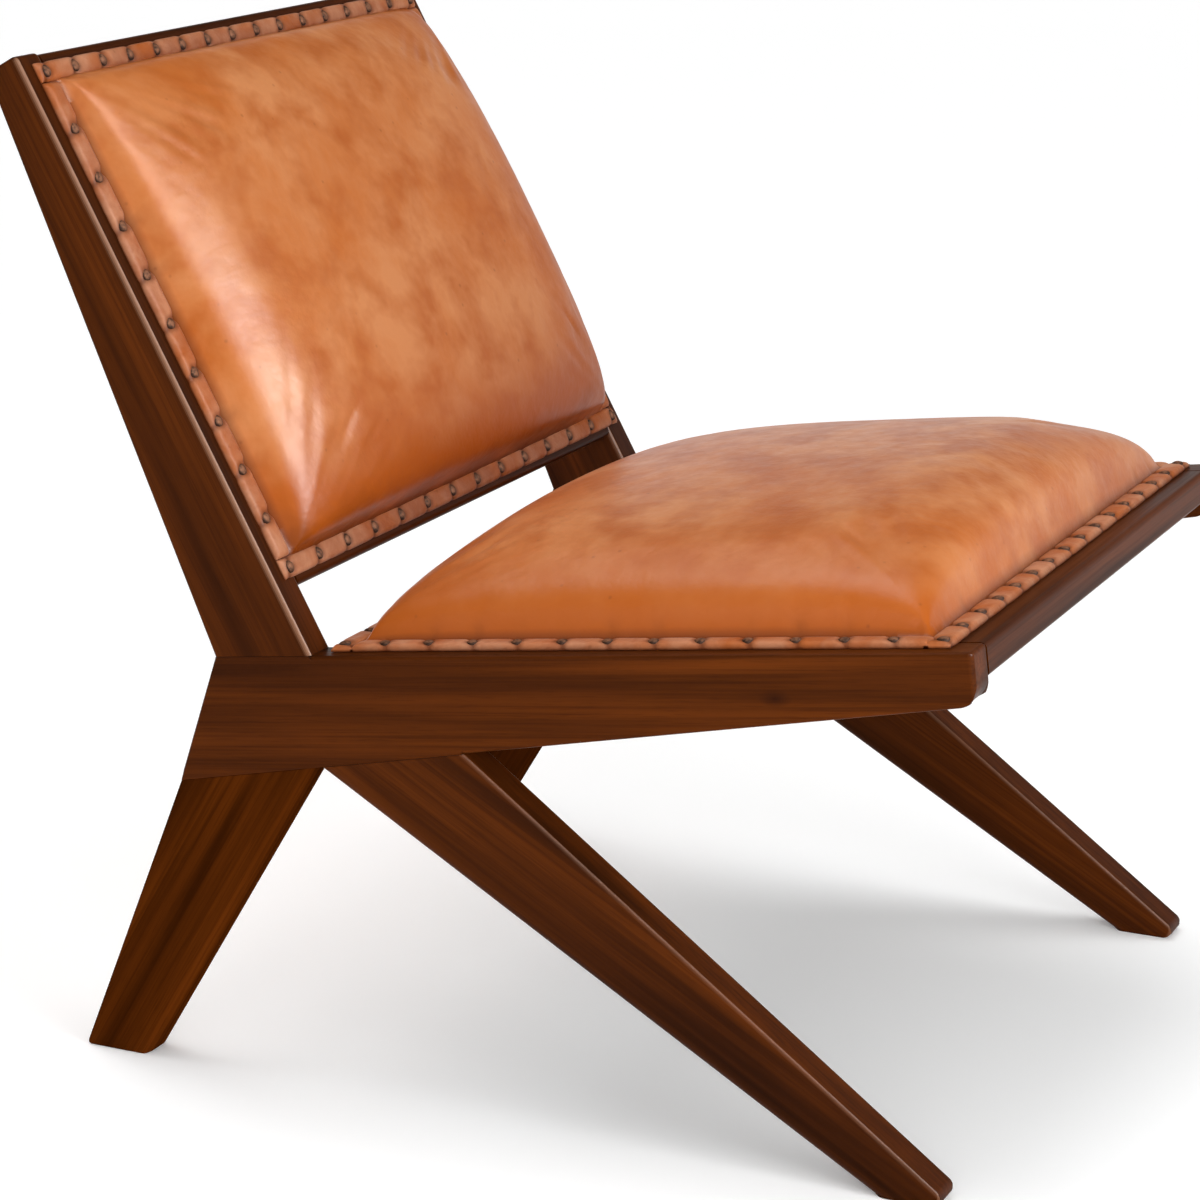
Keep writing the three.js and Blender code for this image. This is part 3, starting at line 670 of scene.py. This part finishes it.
class CHAIR_OT_side_frames(bpy.types.Operator):
    """Model the boards of the two side frames"""
    bl_idname = "chair.side_frames"
    bl_label = "Side frames"

    def rim_round(self, board, start, end):
        """Round-over of a side of a board, by the way that the side faces."""
        size = sizes()
        middle = (start + end) / 2
        if meets(middle, self.joints):
            return 0.0
        if middle.y < FLOOR_REACH:
            return size.foot_round
        facing = Vector((end.y - start.y, start.x - end.x)).normalized()
        if facing.y < -FACES_DOWN and board != "side_rail":
            return size.soft_round
        shows = board in ("side_rail", "back_post") and facing.x < -FACES_FRONT
        return size.front_round if shows else size.crisp_round

    def paint_edge_highlight(self, piece, amount):
        """Paint a highlight on the rounded edges that face forward, the stronger the more they face it."""
        rubbed = []
        for face in piece.data.polygons:
            rounded = face.material_index == ROUNDED and abs(face.normal.x) > FACES_ASIDE
            rubbed.append(amount * max(0.0, -face.normal.y) if rounded else 0.0)
        write_attribute(piece, "edge", rubbed, "FACE")

    def corner_round(self, board, corner):
        """Radius of a board's corner, seen from the side."""
        size = sizes()
        if meets(corner, self.joints):
            return 0.0
        foremost = sorted(self.outlines[board], key=lambda place: place.x + place.y)
        if board == "side_rail":
            return size.nose_round if corner == foremost[0] else size.crisp_round
        return size.toe_round if board == "front_leg" and corner in foremost[:2] else size.tip_round

    def blunt_toe(self, corners):
        """Corners of a front leg with its sharp toe cut off."""
        toe = min(corners, key=lambda place: place.x + place.y)
        number = corners.index(toe)
        beside = (corners[number - 1], corners[(number + 1) % len(corners)])
        cut = [toe + (place - toe).normalized() * sizes().toe_cut for place in beside]
        return corners[:number] + cut + corners[number + 1:]

    def execute(self, context):
        names = ("side_rail", "back_post", "rear_leg", "front_leg")
        self.outlines = {board: outline_corners(f"{board}_right") for board in names}
        self.outlines["front_leg"] = self.blunt_toe(self.outlines["front_leg"])
        rail_sides = sides_of(self.outlines["side_rail"])
        self.joints = [(start, end) for board in names[1:] for start, end in sides_of(self.outlines[board])
                       if meets((start + end) / 2, rail_sides)]
        stops = []
        for start, end in self.joints:
            inset = (end - start).normalized() * JOINT_INSET
            stops += [start, end, start + inset, end - inset]
        boards = [(board, side) for side in SIDES for board in names]
        for number, (board, side) in enumerate(boards, 1):
            node = f"{board}_{side}"
            corners = with_stops(self.outlines[board], stops if board == "side_rail" else [])
            low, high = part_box(node)
            rims = [self.rim_round(board, *ends) for ends in sides_of(corners)]
            crossings = [self.corner_round(board, corner) for corner in corners]
            piece = add_board(f"{node}_board", corners, (low.x, high.x), rims, crossings)
            self.paint_edge_highlight(piece, EDGE_HIGHLIGHT[board])
            material = stained_walnut(
                f"Stained walnut {node}", turn=grain_turn(corners), along=1, shift=GRAIN_STEP * number,
                polish=POLISH[board], knot=KNOT_PLACE if node == "side_rail_right" else None)
            finish_piece(piece, material, "hardwood", node)
        return {"FINISHED"}


class CHAIR_OT_cross_rails(bpy.types.Operator):
    """Model the four rails that join the side frames"""
    bl_idname = "chair.cross_rails"
    bl_label = "Cross rails"

    def execute(self, context):
        size = sizes()
        reach = (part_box("side_rail_right")[1].x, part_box("side_rail_left")[0].x)
        rails = [(panel, end) for panel in PANELS.values() for end in (panel.low, panel.high)]
        for number, (panel, end) in enumerate(rails, 1):
            node = f"{panel.name}_{end}_rail"
            low, high = panel.box(node)
            section = np.array([(0, low[1], low[2]), (0, high[1], low[2]),
                                (0, high[1], high[2]), (0, low[1], high[2])])
            corners = [Vector(place[1:]) for place in panel.to_chair(section)]
            outer = low[1] if end == panel.low else high[1]
            crossings = []
            for _, y, z in section:
                shown = size.cross_round if z == high[2] else size.crisp_round
                crossings.append(shown if y == outer else 0.0)
            piece = add_board(f"{node}_bar", corners, reach, [0.0] * len(corners), crossings)
            material = stained_walnut(f"Stained walnut {node}", turn=0.0, along=0,
                                      shift=-GRAIN_STEP * number)
            finish_piece(piece, material, "hardwood", node)
        return {"FINISHED"}


def spread(share, middle, half, flange):
    """Places along a pad for shares from -1 to 1: close together at the seam, then a flange."""
    inside = np.clip(share / FLANGE_START, -1, 1)
    dense = SEAM_DENSITY * np.sin(inside * math.pi / 2) + (1 - SEAM_DENSITY) * inside
    outside = (np.abs(share) - FLANGE_START).clip(0) / (1 - FLANGE_START)
    return middle + half * dense + flange * outside * np.sign(share)


class CHAIR_OT_pads(bpy.types.Operator):
    """Model the leather pads of the seat and the back"""
    bl_idname = "chair.pads"
    bl_label = "Leather pads"

    def seam_pull(self, panel, places, height):
        """How much the nails draw the pad in at each place, from 0 to 1."""
        size = sizes()
        low, high = panel.opening()
        pull = np.zeros(len(places))
        for band, axis, seam in zip(panel.bands(), (1, 1, 0, 0), (low[1], high[1], low[0], high[0])):
            depth = np.hypot(places[:, axis] - seam, height)
            fade = np.exp(-(depth / size.pull_reach) ** 2)
            for number, nail in enumerate(panel.nails(band)):
                strength = UNEVEN + (1 - UNEVEN) * math.sin(number * UNEVEN_STEP) ** 2
                along = places[:, 1 - axis] - nail[1 - axis]
                pull = np.maximum(pull, strength * fade * np.exp(-(along / size.pull_width) ** 2))
        return pull

    def swell(self, pad, fixed):
        """Let the pad swell a little under pressure with its seam held, as leather over foam does."""
        group = pad.vertex_groups.new(name="Seam")
        group.add(np.flatnonzero(fixed).tolist(), 1.0, "REPLACE")
        cloth = pad.modifiers.new("Swell", "CLOTH")
        cloth.settings.vertex_group_mass = group.name
        cloth.settings.use_pressure = True
        cloth.settings.uniform_pressure_force = SWELL_PRESSURE
        cloth.settings.effector_weights.gravity = 0.0
        cloth.point_cache.frame_end = SWELL_FRAMES
        for number in range(1, SWELL_FRAMES + 1):
            bpy.context.scene.frame_set(number)
        after = places_of(pad.evaluated_get(bpy.context.evaluated_depsgraph_get()).data)

        def capped(before):
            cap = sizes().swell_cap
            step = after - before
            length = np.maximum(np.linalg.norm(step, axis=1, keepdims=True), SAME_PLACE)
            return before + step * np.tanh(length / cap) * cap / length

        pad.modifiers.remove(cloth)
        move_vertices(pad, capped)
        bpy.context.scene.frame_set(1)
        pad.vertex_groups.clear()

    def add_pad(self, panel):
        """One pad: a dome inside the bands, with a flange under them and a closed underside."""
        size = sizes()
        low, high = panel.opening()
        half = (high - low) / 2
        middle = (high + low) / 2
        base = panel.box(panel.bands()[0])[0][2]
        rise = panel.box(f"{panel.name}_leather_cover")[1][2] - base
        rise -= SWELL_ROOM[panel.name]
        across, low_end, high_end, side_fullness, end_fullness = DOMES[panel.name]
        pad = new_grid(f"{panel.name}_pad", PAD_STEPS, PAD_STEPS)
        kept = {}

        def dome(shares):
            places = np.empty_like(shares)
            for axis in (0, 1):
                places[:, axis] = spread(shares[:, axis], middle[axis], half[axis], size.pad_flange)
            ratio = np.abs((places[:, :2] - middle) / half).clip(0, 1)
            along = np.where(places[:, 1] < middle[1], low_end, high_end)
            sideways = (1 - ratio[:, 0] ** across) ** side_fullness
            endways = (1 - ratio[:, 1] ** along) ** end_fullness
            height = rise * (sideways * endways)
            kept["pull"] = self.seam_pull(panel, places, height)
            places[:, 2] = base + height * (1 - size.pull_share * kept["pull"])
            x, y = places[:, 0], places[:, 1]
            gaps = np.column_stack((y - low[1], high[1] - y, x - low[0], high[0] - x))
            kept["fixed"] = gaps.min(1) < SAME_PLACE
            gaps = np.hypot(gaps.clip(0), height[:, None])
            kept["depth"] = gaps.min(1)
            # Rubbed dye and painted shade, fading away from each seam
            rubbed = np.exp(-(gaps / size.rub_and_shade_width) ** 2)
            kept["rubbed_dye_and_shade"] = (rubbed * RUB_AND_SHADE[panel.name]).max(1)
            return panel.to_chair(places)

        move_vertices(pad, dome)
        self.swell(pad, kept["fixed"])
        close_underside(panel, base)
        # Painted shade in the seams and where the nails pull the pad in
        seam_shade = np.exp(-kept["depth"] / size.seam_width)
        seam = np.maximum(seam_shade, PULL_SHADE * kept["pull"] ** 2)
        write_attribute(pad, "seam", seam * SEAM_SHADE_STRENGTH, rest=SEAM_SHADE_STRENGTH)
        write_attribute(pad, "rubbed_dye_and_shade", kept["rubbed_dye_and_shade"])
        material = waxed_leather(f"Waxed cowhide {panel.name}", HAZES[panel.name])
        finish_piece(pad, material, "leather", f"{panel.name}_leather_cover", f"{panel.name}_foam")

    def execute(self, context):
        for panel in PANELS.values():
            self.add_pad(panel)
        return {"FINISHED"}


class CHAIR_OT_bands(bpy.types.Operator):
    """Model the leather bands round the pads"""
    bl_idname = "chair.bands"
    bl_label = "Leather bands"

    def add_band(self, panel, node, lap, material):
        """One band: puffed between its nails, where it laps the pad, and creased at each of them, with
        painted shade in the creases, along its edges and round the nails.
        """
        size = sizes()
        low, high = panel.box(node)
        axis = int(np.argmax((high - low)[:2]))
        length = (high - low)[axis]
        width = (high - low)[1 - axis]
        middle = (high + low) / 2
        centres = panel.nails(node)[:, axis] - middle[axis]
        inward = np.sign(np.mean(panel.opening(), axis=0) - middle[:2])[1 - axis]
        band = new_grid(f"{node}_strip", round(length / BAND_STEP), BAND_ROWS)
        kept = {}

        def puff(shares):
            along = shares[:, 0] * length / 2
            side = shares[:, 1]
            gap = np.abs(along[:, None] - centres - size.band_slant * side[:, None]).min(1)
            full = 1 - np.exp(-(gap / size.band_crease) ** 2)
            end = ((length / 2 - np.abs(along)) / (width / 2)).clip(0, 1)
            dome = (1 - np.abs(side) ** BAND_SQUARE) ** BAND_FULLNESS * np.sqrt(1 - (1 - end) ** 2)
            over = inward * lap * (LAP_HELD + (1 - LAP_HELD) * full) * (side * inward).clip(0)
            half = width / 2 * (BAND_PINCHED + (1 - BAND_PINCHED) * full)
            places = np.empty_like(shares)
            places[:, axis] = middle[axis] + along
            places[:, 1 - axis] = middle[1 - axis] + side * half + over
            places[:, 2] = low[2] + dome * (size.band_pinch + (size.band_puff - size.band_pinch) * full)
            # Painted shade in the creases, along the band's edges and round each nail
            reach = np.hypot(along[:, None] - centres, side[:, None] * width / 2).min(1)
            ring = np.exp(-(reach / (NAIL_SHADE * size.nail_radius)) ** NAIL_SHADE_EDGE)
            outline = BAND_EDGE_SHADE * np.abs(side) ** EDGE_SHADE_POWER
            kept["crease"] = np.maximum.reduce((1 - full, outline, ring)) * SEAM_SHADE_STRENGTH
            return panel.to_chair(places)

        move_vertices(band, puff)
        close_underside(panel, low[2])
        write_attribute(band, "seam", kept["crease"])
        write_attribute(band, "rubbed_dye_and_shade", [], rest=0.0)
        finish_piece(band, material, "band_leather", node)

    def execute(self, context):
        material = waxed_leather("Folded cowhide", HAZES["band"], "band_main", "band_pale", BAND_CLOUD)
        for panel in PANELS.values():
            for node, lap in zip(panel.bands(), LAPS[panel.name]):
                self.add_band(panel, node, lap, material)
        return {"FINISHED"}


class CHAIR_OT_nails(bpy.types.Operator):
    """Model one domed nail head and copy it along the bands"""
    bl_idname = "chair.nails"
    bl_label = "Nails"

    def add_nail(self):
        """A nail head at the origin: a flattened half ball with a flat underside."""
        size = sizes()
        start_fresh()
        bpy.ops.mesh.primitive_uv_sphere_add(segments=NAIL_STEPS, ring_count=NAIL_RINGS, radius=1)
        nail = bpy.context.object
        edit_all()
        bpy.ops.mesh.bisect(plane_co=(0, 0, 0), plane_no=(0, 0, 1), clear_inner=True, use_fill=True)
        bpy.ops.object.mode_set(mode="OBJECT")
        scale = np.array((size.nail_radius, size.nail_radius, size.nail_height))
        write_attribute(nail, "dome", [max(0.0, vertex.co.z) for vertex in nail.data.vertices])
        move_vertices(nail, lambda places: places * scale)
        bpy.ops.object.shade_smooth_by_angle(angle=SOFT_CREASE)
        return nail

    def execute(self, context):
        pattern = self.add_nail()
        material = antique_brass()
        for panel in PANELS.values():
            for node in panel.bands():
                copies = []
                height = panel.box(node)[0][2] + sizes().band_pinch - NAIL_SINK
                for x, y in panel.nails(node):
                    copy = pattern.copy()
                    copy.data = pattern.data.copy()
                    context.collection.objects.link(copy)
                    copy.data.transform(panel.matrix @ Matrix.Translation((x, y, height)))
                    copies.append(copy)
                choose(copies[0])
                for copy in copies[1:]:
                    copy.select_set(True)
                bpy.ops.object.join()
                nails = bpy.context.object
                nails.name = nails.data.name = node.replace("band", "nails")
                finish_piece(nails, material, "nail_brass")
        bpy.data.objects.remove(pattern)
        return {"FINISHED"}


class CHAIR_OT_covers(bpy.types.Operator):
    """Model the leather behind the back and the cloth under the seat"""
    bl_idname = "chair.covers"
    bl_label = "Rear and dust covers"

    def add_sheet(self, name, panel, node):
        """A thin sheet in place of a node, standing out a little towards the chair's rear or floor,
        and the flat size that it was cut to."""
        low, high = panel.box(node)
        middle = (low + high) / 2
        half = (high - low) / 2
        sheet = new_grid(name, SHEET_STEPS, SHEET_STEPS)

        def stretch(shares):
            places = middle + shares * half
            crown = (1 - shares[:, 0] ** SHEET_SQUARE) * (1 - shares[:, 1] ** SHEET_SQUARE)
            places[:, 2] = high[2] - sizes().sheet_puff * crown
            return panel.to_chair(places)

        move_vertices(sheet, stretch)
        for attribute in ("seam", "rubbed_dye_and_shade"):
            write_attribute(sheet, attribute, [], rest=0.0)
        wall = sheet.modifiers.new("Thickness", "SOLIDIFY")
        wall.thickness = high[2] - low[2]
        wall.offset = -1.0
        apply_modifiers(sheet)
        face_outwards()
        bpy.ops.object.shade_smooth_by_angle(angle=SHEET_CREASE)
        return sheet, tuple(float(value) for value in (high - low)[:2])

    def execute(self, context):
        rear, flat = self.add_sheet("back_rear_leather", PANELS["back"], "back_rear_cover")
        leather = waxed_leather("Waxed cowhide rear", HAZES["back"])
        finish_piece(rear, leather, "leather", "back_rear_cover")
        dust, flat = self.add_sheet("seat_dust_cloth", PANELS["seat"], "seat_dust_cover")
        finish_piece(dust, black_cambric(), "dust_cloth", "seat_dust_cover")
        return {"FINISHED"}


class CHAIR_OT_joinery(bpy.types.Operator):
    """Give the dowels, cleats, boards and screws inside the chair their materials"""
    bl_idname = "chair.joinery"
    bl_label = "Hidden joinery"

    def execute(self, context):
        beech = bare_beech()
        finishes = {"_dowel_": beech, "_cleat_": beech, "_board": birch_plywood(), "_screw_": zinc_steel()}
        for name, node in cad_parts.items():
            for part, material in finishes.items():
                if part in name:
                    node.data.materials.clear()
                    node.data.materials.append(material)
        return {"FINISHED"}


def seen_rays(add):
    """1 where the camera, a reflection or glass sees the studio, and 0 where it only gives light."""
    seen = add("LightPath", output="Is Camera Ray")
    rays = seen.node.outputs
    for ray in ("Is Glossy Ray", "Is Transmission Ray"):
        seen = add("Math", operation="MAXIMUM", inputs={0: seen, 1: rays[ray]})
    return seen


class CHAIR_OT_stage(bpy.types.Operator):
    """Set the floor, the light and the camera"""
    bl_idname = "chair.stage"
    bl_label = "Studio"

    def add_floor(self):
        """A wide white floor that keeps the chair's soft shadow."""
        start_fresh()
        bpy.ops.mesh.primitive_plane_add(size=FLOOR_SPAN)
        floor = bpy.context.object
        floor.name = "studio_floor"
        material, add, shader = new_material("Matt white paint")[:3]
        glow = add("Math", operation="MULTIPLY", inputs={0: seen_rays(add), 1: FLOOR_GLOW})
        set_inputs(shader, {
            "Base Color": colours()["floor"], "Roughness": 1.0, "Specular IOR Level": 0.0,
            "Emission Color": WHITE, "Emission Strength": glow})
        floor.data.materials.append(material)

    def add_backdrop(self, scene):
        """A white backdrop all round that darkens upwards, and even light from it on the chair."""
        world = bpy.data.worlds.new("Soft studio")
        world.use_nodes = True
        scene.world = world
        add = partial(add_node, world.node_tree)
        direction = add("TexCoord", output="Generated")
        height = add("SeparateXYZ", inputs={"Vector": direction}, output="Z")
        backdrop = add("MapRange", interpolation_type="SMOOTHSTEP", inputs={
            "Value": height, "From Min": BACKDROP_EDGE, "From Max": BACKDROP_TOP,
            "To Min": 1.0, "To Max": CEILING_GLOW})
        strength = add("MapRange", inputs={
            "Value": seen_rays(add), "To Min": AMBIENT_LIGHT, "To Max": backdrop})
        set_inputs(world.node_tree.nodes["Background"], {"Color": WHITE, "Strength": strength})

    def set_up(self, data, place, direction):
        """Put a lamp or the camera in its place, turned this way."""
        item = bpy.data.objects.new(data.name, data)
        bpy.context.collection.objects.link(item)
        item.location = place
        item.rotation_euler = direction.to_track_quat("-Z", "Y").to_euler()
        return item

    def add_lamp(self, name, kind, place, aim, energy, **settings):
        """A lamp at a place, turned to what it lights and hidden from the camera."""
        lamp = self.set_up(bpy.data.lights.new(name, kind), place, Vector(aim) - Vector(place))
        lamp.data.energy = energy
        for setting, value in settings.items():
            setattr(lamp.data, setting, value)
        lamp.visible_camera = False
        return lamp

    def add_lamps(self):
        """A broad overhead light, softboxes, and banks that show as gloss on all but the seat."""
        self.add_lamp("overhead_light", "SUN", SUN_PLACE, (0, 0, 0), SUN_STRENGTH, angle=SUN_SPREAD)
        shaded = bpy.data.collections.new("Shaded from the banks")
        shaded.objects.link(bpy.data.objects["seat_pad"])
        shaded.collection_objects[0].light_linking.link_state = "EXCLUDE"
        for name, (place, aim, energy, width, lights, glosses) in SOFTBOXES.items():
            lamp = self.add_lamp(name, "AREA", place, aim, energy, shape="SQUARE", size=width)
            lamp.visible_diffuse = lights
            lamp.visible_glossy = glosses
            if not lights:
                lamp.light_linking.receiver_collection = shaded

    def add_camera(self, scene):
        """The camera at the photograph's viewing angle."""
        turn, tilt = CAMERA_TURN, CAMERA_TILT
        look = Vector((math.cos(turn) * math.cos(tilt), math.sin(turn) * math.cos(tilt), -math.sin(tilt)))
        camera = self.set_up(bpy.data.cameras.new("photo_camera"), CAMERA_PLACE, look)
        camera.data.lens = CAMERA_LENS
        scene.camera = camera

    def execute(self, context):
        context.scene.view_settings.view_transform = "Standard"
        self.add_floor()
        self.add_backdrop(context.scene)
        self.add_lamps()
        self.add_camera(context.scene)
        return {"FINISHED"}


class CHAIR_PT_sidebar(bpy.types.Panel):
    """List the steps that build the chair's looks"""
    bl_label = "Lounge chair"
    bl_idname = "CHAIR_PT_sidebar"
    bl_space_type = "VIEW_3D"
    bl_region_type = "UI"
    bl_category = "Lounge Chair"

    def draw(self, context):
        for step in STEPS:
            self.layout.operator(step.bl_idname)
        for group in (context.scene.chair_sizes, context.scene.chair_colours):
            for name in type(group).__annotations__:
                self.layout.prop(group, name)


STEPS = (CHAIR_OT_side_frames, CHAIR_OT_cross_rails, CHAIR_OT_pads, CHAIR_OT_bands, CHAIR_OT_nails,
         CHAIR_OT_covers, CHAIR_OT_joinery, CHAIR_OT_stage)
CLASSES = (ChairSizes, ChairColours, *STEPS, CHAIR_PT_sidebar)


def register():
    """Register the classes and keep the settings in the scene."""
    for item in CLASSES:
        bpy.utils.register_class(item)
    bpy.types.Scene.chair_sizes = bpy.props.PointerProperty(type=ChairSizes)
    bpy.types.Scene.chair_colours = bpy.props.PointerProperty(type=ChairColours)


def unregister():
    """Take the settings and the classes out again."""
    del bpy.types.Scene.chair_colours
    del bpy.types.Scene.chair_sizes
    for item in reversed(CLASSES):
        bpy.utils.unregister_class(item)


def main():
    """Build the chair's looks in order."""
    register()
    for step in STEPS:
        group, name = step.bl_idname.split(".")
        getattr(getattr(bpy.ops, group), name)()
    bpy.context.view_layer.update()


if __name__ == "__main__":
    main()
